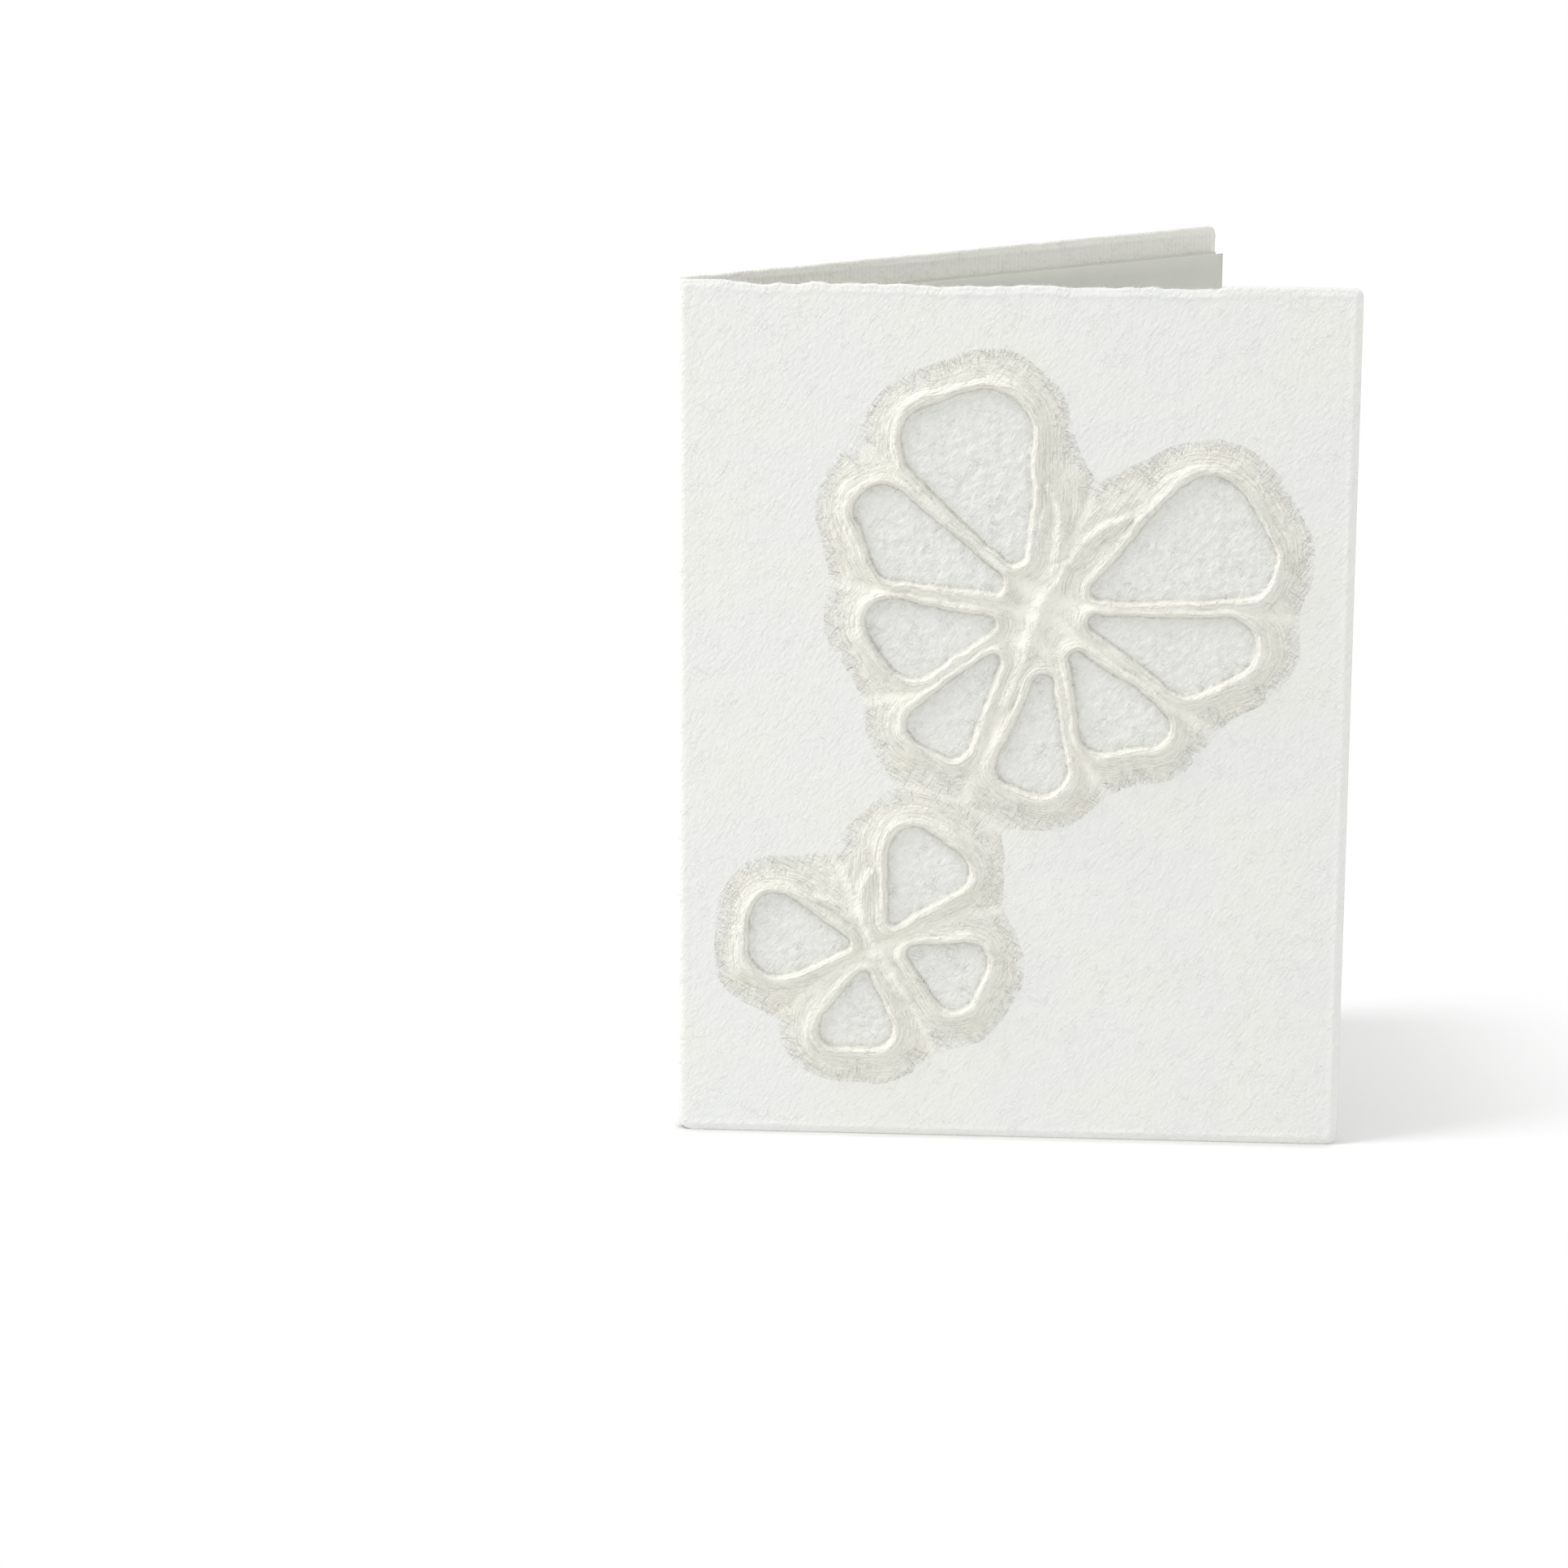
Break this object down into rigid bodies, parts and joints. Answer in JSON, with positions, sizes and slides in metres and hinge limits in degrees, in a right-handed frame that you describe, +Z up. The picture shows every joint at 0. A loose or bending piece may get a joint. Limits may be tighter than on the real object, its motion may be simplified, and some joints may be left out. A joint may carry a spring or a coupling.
{
  "type": "greeting card",
  "caption": "Standing greeting card: a thick sheet folded once, with soft thinned edges, a raised pulp design on its front and a thin folded insert tucked into its fold.",
  "frame": {"origin": "middle of the standing card's footprint box, on the surface that it stands on", "axes": "+Z up along the fold; the front panel faces -Y and is square to it; the fold is on the -X side and the card opens towards +X"},
  "size_m": [0.115, 0.0722, 0.15],
  "materials": {
    "base_paper": "matt, fibrous handmade paper",
    "relief_pulp": "matt, long-fibred cream pulp",
    "insert_paper": "matt, smooth thin paper"
  },
  "bodies": {
    "root": {"folded_card": "base_paper", "relief_layer": "relief_pulp", "insert_sheet": "insert_paper"}
  },
  "joints": []
}
